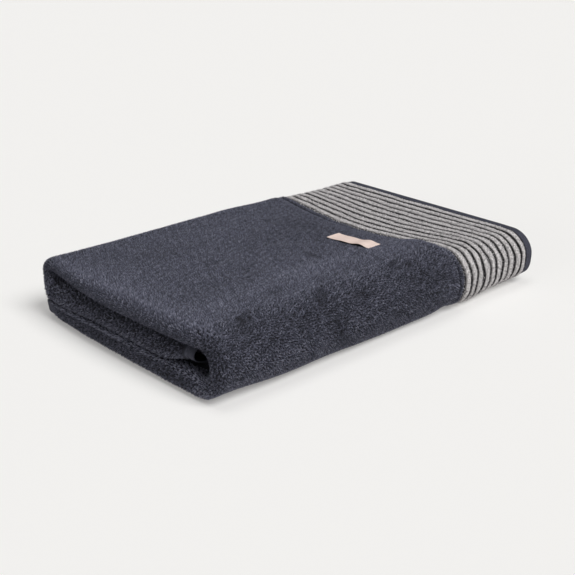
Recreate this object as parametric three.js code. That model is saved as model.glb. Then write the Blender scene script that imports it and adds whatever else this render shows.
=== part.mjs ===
// Sauna towel, folded. One woven sheet with a pile field, a ribbed border and flat hems, folded in
// half twice along its length and then in thirds across its width, and a small label sewn on top.
// Millimetres, +Z up. The folded towel lies on z = 0 with its origin in the middle underneath.
// +X runs along the bundle towards the border, -Y is the round front fold.
import * as THREE from 'three';

// Size of the folded bundle
const BUNDLE_LENGTH = 457;
const BUNDLE_WIDTH = 295.6;

// Cloth: pile field, back of the border, flat hems and the air between two layers
const PILE_THICKNESS = 4.65;
const LAYER_GAP = 1.2;
const INNER_BORDER_THICKNESS = 2.2;
const RIB_BASE_THICKNESS = 1.5;
const RIB_HEIGHT = 2.0;
const END_HEM_THICKNESS = 2.6;
const SELVEDGE_THICKNESS = 2.4;

// Border: pile edge, then the ribs, then the flat end hem
const RIB_COUNT = 11;
const RIB_PITCH = 10.6;
const RIB_WIDTH = 8.4;
const END_HEM_WIDTH = 9.4;
const PILE_EDGE_SLOPE = 6;
const INNER_STEP_SLOPE = 28;

// How far the hidden edges stay back from the outer ones
const INNER_HEM_SETBACK = 3;
const INNER_TURN_SETBACK = 6;
const INNER_LEFT_SETBACK = 7;
const BOTTOM_SELVEDGE_SETBACK = 14;
const MIDDLE_SELVEDGE_SETBACK = 5;
const SELVEDGE_WIDTH = 10;

// Unevenness of the bundle
const BACK_HEIGHT_RATIO = 0.945;
const HOLLOW = { squeeze: 0.2, startX: 27.5, deepX: 96.5, endX: 114.5, frontY: -100, deepY: -58,
  fadeY: 70, backY: 125 };
const LEFT_BULGE = { bottom: 2.6, top: 5.2 };
const MIDDLE_RECESS = { left: 3, right: 4, fullAt: 0.3 };
const END_SHIFT_START = 90;
const FRONT_CORNER_POWER = { pile: 2.25, border: 2.8, changeStartX: -60 };
const LEFT_TURN_POWER = 2.5;

// Where the flat runs are divided: places along x, and shares of each third across the width
const PILE_DIVISIONS = [73, 58, 43, 27.5, -15, -60, -120];
const HIDDEN_DIVISIONS = [27.5, 58];
const BOTTOM_DIVISIONS = [0.5, 1];
const TOP_DIVISIONS = [0, 0.06, 0.14, 0.23, 0.5, 0.75, 0.9, 1];
const MIDDLE_DIVISIONS = [0, 0.5];
const FRONT_FOLD_CELLS = 8;
const BACK_FOLD_CELLS = 6;
const LEFT_TURN_CELLS = 8;
const SMALL_TURN_CELLS = 4;
const LABEL_CELLS = { along: 12, across: 3 };

// Label
const LABEL = { length: 56, width: 20, thickness: 1, seatGap: 0.5, turn: 7.7, x: 44.5, y: -45.5 };
const LABEL_LIFT = { nearEdge: 1.3, wave: 0.6 };

const halfLength = BUNDLE_LENGTH / 2;
const halfWidth = BUNDLE_WIDTH / 2;
const borderWidth = RIB_COUNT * RIB_PITCH + END_HEM_WIDTH;
const pileEdgeX = halfLength - borderWidth;
const pileStack = 4 * PILE_THICKNESS + 3 * LAYER_GAP;

const clamp = THREE.MathUtils.clamp;
const lerp = THREE.MathUtils.lerp;
const smoothstep = THREE.MathUtils.smoothstep;

// How far the outer layer has gone over from pile to border, 0 in the pile and 1 in the border
function borderShare(x) {
  return smoothstep(x, pileEdgeX - PILE_EDGE_SLOPE, pileEdgeX);
}

// Thickness of the second layer, thinner where it is border, with a step that is drawn out
function innerThickness(x) {
  const share = smoothstep(x, pileEdgeX - INNER_STEP_SLOPE / 2, pileEdgeX + INNER_STEP_SLOPE / 2);
  return lerp(PILE_THICKNESS, INNER_BORDER_THICKNESS, share);
}

// Thickness of the stack of four layers, from the innermost face to the outermost rib crowns
function stackThickness(x) {
  const outer = lerp(PILE_THICKNESS, RIB_BASE_THICKNESS + RIB_HEIGHT, borderShare(x));
  return 2 * PILE_THICKNESS + 3 * LAYER_GAP + innerThickness(x) + outer;
}

// Depth of the outer face below the rib crowns: 0 on a crown, the rib height in a groove
function grooveDepth(x) {
  const along = (x - pileEdgeX) / RIB_PITCH;
  if (along <= 0) {
    return 0;
  }
  if (along >= RIB_COUNT) {
    return RIB_BASE_THICKNESS + RIB_HEIGHT - END_HEM_THICKNESS;
  }
  const fromCrown = Math.abs((along % 1) - 0.5) * 2 * RIB_PITCH / RIB_WIDTH;
  return RIB_HEIGHT * (1 - Math.sqrt(Math.max(0, 1 - Math.min(1, fromCrown) ** 2)));
}

// A station along the sheet: where its outward and its inward face lie in the stack,
// x along the bundle and t up through the stack from its innermost face
function straightRun(xs, outwardLevel, inwardLevel) {
  return xs.map((x) => ({ outward: [x, outwardLevel(x)], inward: [x, inwardLevel(x)] }));
}

// A turn of the sheet in the stack. A power over 2 makes the turn squarer than a circle.
function turnRun(centre, outwardRadius, inwardRadius, fromAngle, toAngle, steps, power = 2) {
  const square = (value) => Math.sign(value) * Math.abs(value) ** (2 / power);
  const run = [];
  for (let step = 1; step < steps; step += 1) {
    const angle = THREE.MathUtils.degToRad(lerp(fromAngle, toAngle, step / steps));
    const place = (radius) => [
      centre[0] + radius * square(Math.cos(angle)),
      centre[1] + radius * square(Math.sin(angle)),
    ];
    run.push({ outward: place(outwardRadius), inward: place(inwardRadius) });
  }
  return run;
}

// Stations of the border, four to a rib, from the end hem to the pile edge
function borderStations() {
  const xs = [halfLength, halfLength - END_HEM_WIDTH];
  for (let quarter = 1; quarter <= 4 * RIB_COUNT; quarter += 1) {
    xs.push(halfLength - END_HEM_WIDTH - quarter * RIB_PITCH / 4);
  }
  xs.push(pileEdgeX - PILE_EDGE_SLOPE);
  return xs;
}

// The whole sheet along its length: outer layer, outer left turn, innermost layer, right turn,
// third layer, inner left turn and second layer
function lengthwiseStations() {
  const turnLevel = pileStack / 2;
  const pitch = PILE_THICKNESS + LAYER_GAP;
  const outerLeft = -halfLength + turnLevel + LEFT_BULGE.top;
  const innerLeft = outerLeft + INNER_LEFT_SETBACK;
  const innerRight = halfLength - INNER_TURN_SETBACK - PILE_THICKNESS - LAYER_GAP / 2;
  const smallTurn = PILE_THICKNESS + LAYER_GAP / 2;
  const outerTop = (x) => stackThickness(x) - grooveDepth(x);
  const outerUnder = (x) => 2 * pitch + LAYER_GAP + innerThickness(x);
  const stepStart = pileEdgeX - INNER_STEP_SLOPE / 2;
  const stepEnd = pileEdgeX + INNER_STEP_SLOPE / 2;
  const pileStations = [stepStart, ...PILE_DIVISIONS, outerLeft];
  const hiddenStations = [
    ...HIDDEN_DIVISIONS, stepStart, pileEdgeX - PILE_EDGE_SLOPE, pileEdgeX, stepEnd];
  return [
    ...straightRun([...borderStations(), ...pileStations], outerTop, outerUnder),
    ...turnRun([outerLeft, turnLevel], turnLevel, turnLevel - PILE_THICKNESS, 90, 270,
      LEFT_TURN_CELLS, LEFT_TURN_POWER),
    ...straightRun([outerLeft, ...hiddenStations, innerRight], () => 0, () => PILE_THICKNESS),
    ...turnRun([innerRight, smallTurn], smallTurn, LAYER_GAP / 2, -90, 90, SMALL_TURN_CELLS),
    ...straightRun([innerRight, ...[...hiddenStations].reverse(), innerLeft],
      () => pitch + PILE_THICKNESS, () => pitch),
    ...turnRun([innerLeft, turnLevel], LAYER_GAP / 2, smallTurn, 270, 90, SMALL_TURN_CELLS),
    ...straightRun([innerLeft, ...hiddenStations, halfLength - INNER_HEM_SETBACK],
      () => 2 * pitch, (x) => 2 * pitch + innerThickness(x)),
  ];
}

// Where the two folds across the width have their centres, for a stack of this thickness
function frontFoldCentre(stack) {
  return -halfWidth + 1.5 * stack + LAYER_GAP;
}

function backFoldCentre(stack) {
  return halfWidth - stack - LAYER_GAP / 2;
}

// A step across the width is a function that takes the stack thickness and a level in it, and
// gives y and z
function bottomStep(share) {
  return (stack, t) => {
    const from = halfWidth - BOTTOM_SELVEDGE_SETBACK;
    return [lerp(from, frontFoldCentre(stack), share), stack - t];
  };
}

// The front fold is a half circle above, and below it is pressed squarer by the weight on it
function frontFoldStep(share) {
  const angle = share * Math.PI;
  const isBelow = angle < Math.PI / 2;
  return (stack, t, x) => {
    const radius = stack / 2 + LAYER_GAP + t;
    const corner = lerp(
      FRONT_CORNER_POWER.pile, FRONT_CORNER_POWER.border,
      smoothstep(x, FRONT_CORNER_POWER.changeStartX, pileEdgeX));
    const power = isBelow ? 2 / corner : 1;
    const out = Math.sin(angle) ** power;
    const up = -Math.sign(Math.cos(angle)) * Math.abs(Math.cos(angle)) ** power;
    return [frontFoldCentre(stack) - radius * out, 1.5 * stack + LAYER_GAP + radius * up];
  };
}

function topStep(share) {
  return (stack, t) => [
    lerp(frontFoldCentre(stack), backFoldCentre(stack), share),
    2 * (stack + LAYER_GAP) + t,
  ];
}

function backFoldStep(share) {
  const angle = share * Math.PI;
  return (stack, t) => {
    const radius = LAYER_GAP / 2 + t;
    return [
      backFoldCentre(stack) + radius * Math.sin(angle),
      2 * stack + 1.5 * LAYER_GAP + radius * Math.cos(angle),
    ];
  };
}

function middleStep(share) {
  return (stack, t) => {
    const to = frontFoldCentre(stack) + MIDDLE_SELVEDGE_SETBACK;
    return [lerp(backFoldCentre(stack), to, share), 2 * stack + LAYER_GAP - t];
  };
}

// Steps from the bottom selvedge round the front fold, over the top, round the back fold and in
// again to the middle selvedge, each with the name of its third or fold
function crosswiseSteps() {
  const steps = [];
  const add = (third, stepAt, shares) => {
    for (const share of shares) {
      steps.push({ third, place: stepAt(share), isSelvedge: false });
    }
  };
  const evenShares = (cells) => Array.from({ length: cells - 1 }, (_, i) => (i + 1) / cells);
  const selvedgeShare = SELVEDGE_WIDTH / (BUNDLE_WIDTH - 2 * pileStack);
  add('bottom', bottomStep, [0, selvedgeShare, ...BOTTOM_DIVISIONS]);
  add('front', frontFoldStep, evenShares(FRONT_FOLD_CELLS));
  add('top', topStep, TOP_DIVISIONS);
  add('back', backFoldStep, evenShares(BACK_FOLD_CELLS));
  add('middle', middleStep, [...MIDDLE_DIVISIONS, 1 - selvedgeShare, 1]);
  steps[0].isSelvedge = true;
  steps[steps.length - 1].isSelvedge = true;
  return steps;
}

// How much the top third is pressed in at a place: a soft hollow that starts in the pile and ends
// under the first ribs, and stays clear of the round front and back folds
function hollowShare(x, y) {
  const alongX = smoothstep(x, HOLLOW.startX, HOLLOW.deepX)
    * (1 - smoothstep(x, HOLLOW.deepX, HOLLOW.endX));
  const alongY = smoothstep(y, HOLLOW.frontY, HOLLOW.deepY)
    * (1 - smoothstep(y, HOLLOW.fadeY, HOLLOW.backY));
  return alongX * alongY;
}

// Final height of a place: the top third is squeezed in the hollow, and the whole bundle gets
// lower towards the back
function settledHeight(x, y, z) {
  const topBase = 2 * (stackThickness(x) + LAYER_GAP);
  const squeezed = z <= topBase
    ? z : topBase + (z - topBase) * (1 - HOLLOW.squeeze * hollowShare(x, y));
  const towardsBack = clamp((y + halfWidth) / BUNDLE_WIDTH, 0, 1);
  return squeezed * lerp(1, BACK_HEIGHT_RATIO, towardsBack);
}

// Shift of a place along x: the left turns bulge in the middle of their length, and the middle
// third stays back at both ends
function endShift(third, x, y) {
  const leftShare = smoothstep(-x, END_SHIFT_START, halfLength - pileStack);
  const rightShare = smoothstep(x, pileEdgeX, halfLength);
  const along = clamp((y + halfWidth - pileStack) / (BUNDLE_WIDTH - 2 * pileStack), 0, 1);
  const bow = 4 * along * (1 - along);
  if (third === 'middle') {
    const fromBackFold = smoothstep(1 - along, 0, MIDDLE_RECESS.fullAt);
    return fromBackFold * (MIDDLE_RECESS.left * leftShare - MIDDLE_RECESS.right * rightShare);
  }
  const bulge = third === 'bottom' ? LEFT_BULGE.bottom : LEFT_BULGE.top;
  return third === 'front' || third === 'back' ? 0 : -bulge * bow * leftShare;
}

// Where a corner of the flat sheet goes. At the two selvedges its faces come closer together.
function foldedPoint(station, isOutward, step) {
  const own = isOutward ? station.outward : station.inward;
  const other = isOutward ? station.inward : station.outward;
  const thickness = Math.hypot(own[0] - other[0], own[1] - other[1]);
  const thinning = step.isSelvedge ? Math.min(1, SELVEDGE_THICKNESS / thickness) : 1;
  const towardsOther = (1 - thinning) / 2;
  const x = lerp(own[0], other[0], towardsOther);
  const t = lerp(own[1], other[1], towardsOther);
  const [y, z] = step.place(stackThickness(x), t, x);
  return new THREE.Vector3(x + endShift(step.third, x, y), y, settledHeight(x, y, z));
}

// The flat sheet is a box with one cell for each pair of stations and steps. Each of its corners
// is then carried to its folded place.
function towelGeometry() {
  const stations = lengthwiseStations();
  const steps = crosswiseSteps();
  const lengthCells = stations.length - 1;
  const widthCells = steps.length - 1;
  const geometry = new THREE.BoxGeometry(1, 1, 1, lengthCells, 1, widthCells);
  const position = geometry.attributes.position;
  for (let i = 0; i < position.count; i += 1) {
    const station = stations[Math.round((position.getX(i) + 0.5) * lengthCells)];
    const step = steps[Math.round((position.getZ(i) + 0.5) * widthCells)];
    const point = foldedPoint(station, position.getY(i) > 0, step);
    position.setXYZ(i, point.x, point.y, point.z);
  }
  geometry.computeVertexNormals();
  return geometry;
}

// Height of the top of the bundle at a place
function topHeight(x, y) {
  return settledHeight(x, y, 3 * stackThickness(x) + 2 * LAYER_GAP);
}

// The label lies on the pile along its far edge and its two short ends, where it is sewn. Its near
// edge lifts between them in a shallow wave.
function labelGeometry() {
  const geometry = new THREE.BoxGeometry(
    LABEL.width, LABEL.length, LABEL.thickness, LABEL_CELLS.across, LABEL_CELLS.along, 1);
  const position = geometry.attributes.position;
  const turn = THREE.MathUtils.degToRad(LABEL.turn);
  for (let i = 0; i < position.count; i += 1) {
    const across = position.getX(i);
    const along = position.getY(i);
    const x = LABEL.x + across * Math.cos(turn) - along * Math.sin(turn);
    const y = LABEL.y + across * Math.sin(turn) + along * Math.cos(turn);
    const nearness = 0.5 - across / LABEL.width;
    const fromMiddle = Math.abs(along) / (LABEL.length / 2);
    const arch = 1 - fromMiddle ** 2;
    const wave = LABEL_LIFT.wave * Math.sin(fromMiddle * Math.PI) ** 2;
    const lift = LABEL.seatGap + nearness * (LABEL_LIFT.nearEdge * arch + wave);
    const height = position.getZ(i) > 0 ? LABEL.thickness : 0;
    position.setXYZ(i, x, y, topHeight(x, y) + lift + height);
  }
  geometry.computeVertexNormals();
  return geometry;
}

function clothMesh(name, geometry, color, roughness) {
  const material = new THREE.MeshStandardMaterial({ color, roughness, metalness: 0 });
  const mesh = new THREE.Mesh(geometry, material);
  mesh.name = name;
  return mesh;
}

const group = new THREE.Group();
group.add(clothMesh('towel', towelGeometry(), 0x4a4c59, 0.95));
group.add(clothMesh('label', labelGeometry(), 0xcdb9af, 0.8));

export default group;
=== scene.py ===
# %% [markdown]
# # A folded sauna towel, with its pile, its ribbed border and its small label
#
# The CAD model is loaded first, as a fixed frame. It holds the towel as one folded solid, and the
# label as another. Everything below dresses those two solids: a finer cloth that lies in the same
# folds, the pile that stands on it, the cords of the border, the stitching and the label.

# %% Load the frame
import math

import bpy
import numpy as np
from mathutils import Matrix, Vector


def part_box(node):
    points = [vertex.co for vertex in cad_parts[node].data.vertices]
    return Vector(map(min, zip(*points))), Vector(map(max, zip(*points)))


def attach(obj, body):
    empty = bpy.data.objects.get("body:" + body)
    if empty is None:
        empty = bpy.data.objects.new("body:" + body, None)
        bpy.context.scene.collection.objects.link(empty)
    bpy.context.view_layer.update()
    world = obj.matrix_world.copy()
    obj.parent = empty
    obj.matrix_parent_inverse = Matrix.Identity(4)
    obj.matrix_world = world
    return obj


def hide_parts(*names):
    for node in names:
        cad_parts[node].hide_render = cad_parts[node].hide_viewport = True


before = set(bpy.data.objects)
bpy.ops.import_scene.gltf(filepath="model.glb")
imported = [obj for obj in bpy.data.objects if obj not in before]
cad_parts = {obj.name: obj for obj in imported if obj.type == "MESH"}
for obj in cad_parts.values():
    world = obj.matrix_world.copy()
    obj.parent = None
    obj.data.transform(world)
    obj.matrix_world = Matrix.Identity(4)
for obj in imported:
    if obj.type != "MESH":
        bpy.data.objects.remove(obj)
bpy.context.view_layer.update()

# %% [markdown]
# ## The camera and the plain studio
#
# The towel lies on a white table and is seen from its front left corner, from a little above. A
# long lens keeps its edges nearly parallel. The table is one large pale plane that glows a little
# from below, as a light table in a photo studio does, so shadows on it stay pale. The light is one
# large soft lamp in front, a weaker one overhead and a little behind, and a weak low one from the
# left, so the left end is in half shade. The even light from all round is very weak.

# %% Camera
CAMERA_PLACE = (-0.76086, -0.81873, 0.47289)
CAMERA_PITCH = 22.44
CAMERA_HEADING = 47.36
CAMERA_LENS = 69.95
SENSOR_WIDTH = 36.0

camera_data = bpy.data.cameras.new("camera")
camera_data.lens = CAMERA_LENS
camera_data.sensor_width = SENSOR_WIDTH
camera = bpy.data.objects.new("camera", camera_data)
camera.location = CAMERA_PLACE
camera.rotation_euler = (
    math.radians(90 - CAMERA_PITCH), 0, math.radians(CAMERA_HEADING - 90))
bpy.context.scene.collection.objects.link(camera)
bpy.context.scene.camera = camera
bpy.context.scene.view_settings.view_transform = "Standard"
print("camera", CAMERA_PLACE, "lens", CAMERA_LENS)

# %% Helpers for materials


def new_material(name, roughness, specular=0.2):
    """A material with one Principled shader, its nodes, its links and the shader itself."""
    material = bpy.data.materials.new(name)
    material.use_nodes = True
    nodes, links = material.node_tree.nodes, material.node_tree.links
    shader = nodes["Principled BSDF"]
    shader.inputs["Roughness"].default_value = roughness
    shader.inputs["Specular IOR Level"].default_value = specular
    return material, nodes, links, shader


def noise_node(nodes, links, source, scale, detail):
    """A noise pattern over the coordinates that source gives. Its size is 1 / scale metres."""
    node = nodes.new("ShaderNodeTexNoise")
    node.inputs["Scale"].default_value = scale
    node.inputs["Detail"].default_value = detail
    node.inputs["Roughness"].default_value = 0.5
    links.new(source, node.inputs["Vector"])
    return node.outputs["Fac"]


def object_place(nodes):
    """The point's place on the piece, in metres."""
    return nodes.new("ShaderNodeTexCoord").outputs["Object"]


def shade_value(nodes):
    """The shade that a piece's own points carry."""
    node = nodes.new("ShaderNodeAttribute")
    node.attribute_name = "shade"
    return node.outputs["Fac"]


def math_node(nodes, links, operation, *values):
    """One sum or product. Each value is an output of a node or a number."""
    node = nodes.new("ShaderNodeMath")
    node.operation = operation
    for socket, value in zip(node.inputs, values):
        if isinstance(value, (int, float)):
            socket.default_value = value
        else:
            links.new(value, socket)
    return node.outputs[0]


def weighted_sum(nodes, links, *parts):
    """The sum of some outputs, each times its weight. parts are pairs of an output and a weight."""
    total, *others = [math_node(nodes, links, "MULTIPLY", *part) for part in parts]
    for other in others:
        total = math_node(nodes, links, "ADD", total, other)
    return total


def ramp_node(nodes, links, source, stops):
    """Turns a value into a colour. stops are pairs of a value and a colour."""
    node = nodes.new("ShaderNodeValToRGB")
    elements = node.color_ramp.elements
    while len(elements) < len(stops):
        elements.new(0.5)
    for element, (value, colour) in zip(elements, stops):
        element.position = value
        element.color = (*colour, 1)
    links.new(source, node.inputs[0])
    return node.outputs["Color"]


def bump_node(nodes, links, source, strength, distance):
    """Turns a height pattern into small relief that the shader sees. distance is in metres."""
    node = nodes.new("ShaderNodeBump")
    node.inputs["Strength"].default_value = strength
    node.inputs["Distance"].default_value = distance
    links.new(source, node.inputs["Height"])
    return node.outputs["Normal"]


# %% Floor
FLOOR_HALF = 9.0
FLOOR_COLOUR = (0.70, 0.695, 0.68)
FLOOR_GLOW = (0.262, 0.257, 0.253)

floor_mesh = bpy.data.meshes.new("floor")
floor_mesh.from_pydata(
    [(-FLOOR_HALF, -FLOOR_HALF, 0), (FLOOR_HALF, -FLOOR_HALF, 0),
     (FLOOR_HALF, FLOOR_HALF, 0), (-FLOOR_HALF, FLOOR_HALF, 0)], [], [(0, 1, 2, 3)])
floor = bpy.data.objects.new("floor", floor_mesh)
bpy.context.scene.collection.objects.link(floor)
floor_material, _, _, floor_shader = new_material("table", 1.0, 0.0)
floor_shader.inputs["Base Color"].default_value = (*FLOOR_COLOUR, 1)
floor_shader.inputs["Emission Color"].default_value = (*FLOOR_GLOW, 1)
floor_shader.inputs["Emission Strength"].default_value = 1.0
floor_mesh.materials.append(floor_material)

# %% Light
# strength, softness, height over the table and side it comes from, in degrees from +X
LIGHTS = {
    "key_light": (2.5, 35.0, 52.0, -83.0),
    "top_light": (0.6, 32.0, 83.0, 90.0),
    "side_light": (0.5, 30.0, 8.0, 180.0),
}
FILL_STRENGTH = 0.05

for name, (strength, softness, height, side) in LIGHTS.items():
    light_data = bpy.data.lights.new(name, "SUN")
    light_data.energy = strength
    light_data.angle = math.radians(softness)
    light = bpy.data.objects.new(name, light_data)
    light.rotation_euler = (0, math.radians(90 - height), math.radians(side))
    bpy.context.scene.collection.objects.link(light)
world = bpy.data.worlds.new("studio")
world.use_nodes = True
world.node_tree.nodes["Background"].inputs["Color"].default_value = (1, 1, 1, 1)
world.node_tree.nodes["Background"].inputs["Strength"].default_value = FILL_STRENGTH
bpy.context.scene.world = world
print("lights", LIGHTS)

# %% [markdown]
# ## How the towel is folded
#
# The towel is one woven sheet. It is folded in half twice along its length, so that four layers lie
# in a stack, and the stack is folded in thirds across its width. So a point of the cloth has three
# numbers: its place x along the bundle, its level in the stack, counted up from the innermost
# face, and how far it has gone across the width. The third number runs from 0 to 5: the bottom
# third, the front fold, the top third, the back fold and the middle third, one each.
#
# A cloth simulation could fold a sheet too, but it would not end in the folds of the CAD model. The
# formulas below are those of the CAD model, worked out for whole arrays of points at once. The
# soft forms that the CAD model leaves out are added to them.

# %% Sizes in millimetres
MM = 0.001
towel_low, towel_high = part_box("towel")
LENGTH = (towel_high[0] - towel_low[0]) / MM
WIDTH = (towel_high[1] - towel_low[1]) / MM
half_length = LENGTH / 2
half_width = WIDTH / 2

PILE = 4.65
GAP = 1.2
INNER_BORDER = 2.2
RIB_BASE = 1.5
RIB_HEIGHT = 2.0
END_HEM = 2.6
SELVEDGE = 2.4
SELVEDGE_WIDTH = 10.0

RIB_COUNT = 11
RIB_PITCH = 10.6
RIB_WIDTH = 8.4
END_HEM_WIDTH = 9.4
PILE_EDGE_SLOPE = 6.0
INNER_STEP_SLOPE = 28.0
pile_edge = half_length - RIB_COUNT * RIB_PITCH - END_HEM_WIDTH
pile_stack = 4 * PILE + 3 * GAP
print("bundle", round(LENGTH, 1), "x", round(WIDTH, 1), "mm, pile ends at x =", round(pile_edge, 1))

# %% Unevenness of the bundle
# These are the CAD model's own values, apart from the pile's corner power. It is a little higher
# here, so that the lower half of the front fold is as square as it is on the real towel.
BACK_HEIGHT_RATIO = 0.945
HOLLOW_SQUEEZE = 0.2
HOLLOW_X = (27.5, 96.5, 96.5, 114.5)
HOLLOW_Y = (-100.0, -58.0, 70.0, 125.0)
BOTTOM_BULGE = 2.6
TOP_BULGE = 5.2
MIDDLE_RECESS_LEFT = 3.0
MIDDLE_RECESS_RIGHT = 4.0
RECESS_FULL_AT = 0.3
END_SHIFT_START = 90.0
CORNER_POWER_PILE = 2.5
CORNER_POWER_BORDER = 2.8
CORNER_CHANGE_START = -60.0
LEFT_TURN_POWER = 2.5
INNER_HEM_SETBACK = 3.0
INNER_TURN_SETBACK = 6.0
INNER_LEFT_SETBACK = 7.0
BOTTOM_SELVEDGE_SETBACK = 14.0
MIDDLE_SELVEDGE_SETBACK = 5.0


# %% Helpers for shapes


def smooth_step(value, start, end):
    """0 up to start, 1 from end on, and 3u² - 2u³ between, where u goes evenly from 0 to 1."""
    u = np.clip((value - start) / (end - start), 0, 1)
    return u * u * (3 - 2 * u)


def mix(first, second, share):
    """first where share is 0, second where it is 1, and in proportion between."""
    return first + (second - first) * share


# %% Thickness of the stack


def inner_thickness(x):
    """Thickness of the second layer: pile, then thinner border, with a drawn-out step."""
    return mix(PILE, INNER_BORDER, smooth_step(
        x, pile_edge - INNER_STEP_SLOPE / 2, pile_edge + INNER_STEP_SLOPE / 2))


def stack_thickness(x):
    """Two pile layers, the second layer, the outer layer and the three gaps between the four."""
    outer = mix(PILE, RIB_BASE + RIB_HEIGHT, smooth_step(x, pile_edge - PILE_EDGE_SLOPE, pile_edge))
    return 2 * PILE + 3 * GAP + inner_thickness(x) + outer


def groove_depth(x):
    """Depth below the rib crowns: each rib is half an ellipse, and the end hem is flat."""
    along = (x - pile_edge) / RIB_PITCH
    from_crown = np.clip(np.abs(along % 1 - 0.5) * 2 * RIB_PITCH / RIB_WIDTH, 0, 1)
    rib = RIB_HEIGHT * (1 - np.sqrt(1 - from_crown ** 2))
    depth = np.where(along >= RIB_COUNT, RIB_BASE + RIB_HEIGHT - END_HEM, rib)
    return np.where(along <= 0, 0, depth)


print("stack", round(float(stack_thickness(0.0)), 2), "mm in the pile and",
      round(float(stack_thickness(half_length)), 2), "mm in the border")

# %% Distance across the width
BOTTOM, FRONT, TOP, BACK, MIDDLE = range(5)
front_centre_pile = -half_width + 1.5 * pile_stack + GAP
back_centre_pile = half_width - pile_stack - GAP / 2
RUN_LENGTHS = np.array([
    half_width - BOTTOM_SELVEDGE_SETBACK - front_centre_pile,
    math.pi * (1.5 * pile_stack + GAP),
    back_centre_pile - front_centre_pile,
    math.pi * (pile_stack + GAP / 2),
    back_centre_pile - front_centre_pile - MIDDLE_SELVEDGE_SETBACK,
])
run_starts = np.concatenate([[0], np.cumsum(RUN_LENGTHS)])
run_starts -= run_starts[TOP]


def outer_distance(across):
    """Millimetres along the outer face, from the front edge of the top third towards the back."""
    return np.interp(across, np.arange(6), run_starts)


print("outer face across the width:", np.round(RUN_LENGTHS), "mm")

# %% [markdown]
# ## Soft hollows and ridges
#
# A real folded towel is never even. Hands have pressed it, and the layers below push through. Each
# mark below is placed where the towel shows it: a soft bump or dent of a given length,
# width and height, turned on the surface. x runs along the bundle, and the second number is the
# distance over the top from its front edge, negative down the front fold.

# %% Marks in the cloth
# x, distance, length along its own axis, width, turn in degrees, height
MARKS = np.array([
    [-173, -8, 7, 5, 20, -1.6],
    [-172, -18, 22, 14, 10, -1.3],
    [-105, 116, 6, 3.5, 0, -0.9],
    [-93, 81, 6, 3, 30, -0.9],
    [-103, 63, 7, 3, 10, -0.8],
    [-20, 62, 9, 2.6, 80, -1.3],
    [15, 32, 8, 3, 20, -0.9],
    [-113, 16, 8, 3.5, 10, -1.0],
    [-81, -14, 10, 3.5, 40, -1.2],
    [-36, -30, 6, 4, 0, -1.1],
    [22, -11, 6, 4, 20, -1.4],
    [40, -17, 6, 3, 0, -1.0],
    [7, -61, 8, 3, 10, -0.9],
    [-75, -55, 4, 16, 25, -1.1],
    [-11, 32, 70, 14, -4, 1.6],
    [-80, 30, 34, 13, 8, 1.1],
    [50, 10, 26, 14, -10, 1.2],
    [56, -38, 16, 22, 0, 1.4],
    [-40, -48, 18, 24, 0, 1.0],
    [-128, -50, 26, 22, 0, 1.1],
    [-205, 98, 14, 26, 0, 1.0],
    [-195, 166, 16, 24, 0, 0.9],
    [8, -90, 38, 12, 0, 1.4],
    [-202, -90, 26, 12, 0, -3.6],
    [-80, 225, 110, 26, 0, -1.7],
    [-128, 187, 24, 16, 20, -1.0],
    [-31, 124, 26, 16, -20, -0.9],
    [-150, 60, 34, 12, 15, -0.8],
])
# How far the foot of the front fold stands back beside and under the border: x and mm.
FOOT_LIFT = np.array([
    [58, 0.0], [76, 0.4], [90, 1.8], [100, 2.4], [108, 1.5], [118, 0.1], [134, -0.8], [150, 0.6],
    [165, 2.0], [180, 3.0]])
RELIEF_SEED = 7
RELIEF_WAVES = 14
WAVINESS = 0.15


def wave_field(x, y, seed, count, shortest, longest):
    """A smooth uneven field from -1 to 1: a sum of sines in random directions and lengths."""
    draw = np.random.default_rng(seed)
    total = np.zeros(np.broadcast(x, y).shape)
    for _ in range(count):
        direction = draw.uniform(0, math.pi)
        turns = 2 * math.pi / draw.uniform(shortest, longest)
        phase = draw.uniform(0, 2 * math.pi)
        total += np.sin(turns * (x * math.cos(direction) + y * math.sin(direction)) + phase)
    return total / math.sqrt(count)


def soft_spot(x, distance, spot):
    """A spot of the marks table, 1 in its middle and fading by exp(-(u² + v²) / 2), where u and v
    count the spot's lengths and widths along its own two axes."""
    spot_x, spot_distance, length, width, turn = spot[:5]
    cos, sin = math.cos(math.radians(turn)), math.sin(math.radians(turn))
    u = ((x - spot_x) * cos + (distance - spot_distance) * sin) / length
    v = ((distance - spot_distance) * cos - (x - spot_x) * sin) / width
    return np.exp(-(u * u + v * v) / 2)


def ridge_at(value, middle, reach):
    """A soft ridge, 1 in its middle and exp(-1) at its reach."""
    return np.exp(-((value - middle) / reach) ** 2)


# %% Broad forms beside the border
# These are also only here: height in mm, distance of the middle, reach.
SHOULDER = (3.0, 8, 24)
SAG = (-2.6, 112, 44)
FOOT_PLACE, FOOT_REACH = -88, 14
PILE_BACK_HEIGHT = -2.8
BORDER_BACK_HEIGHT = 2.0
CORD_LIFT = 1.2
END_LIFT = 0.9
HEM_DROOP = -0.6


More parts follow.
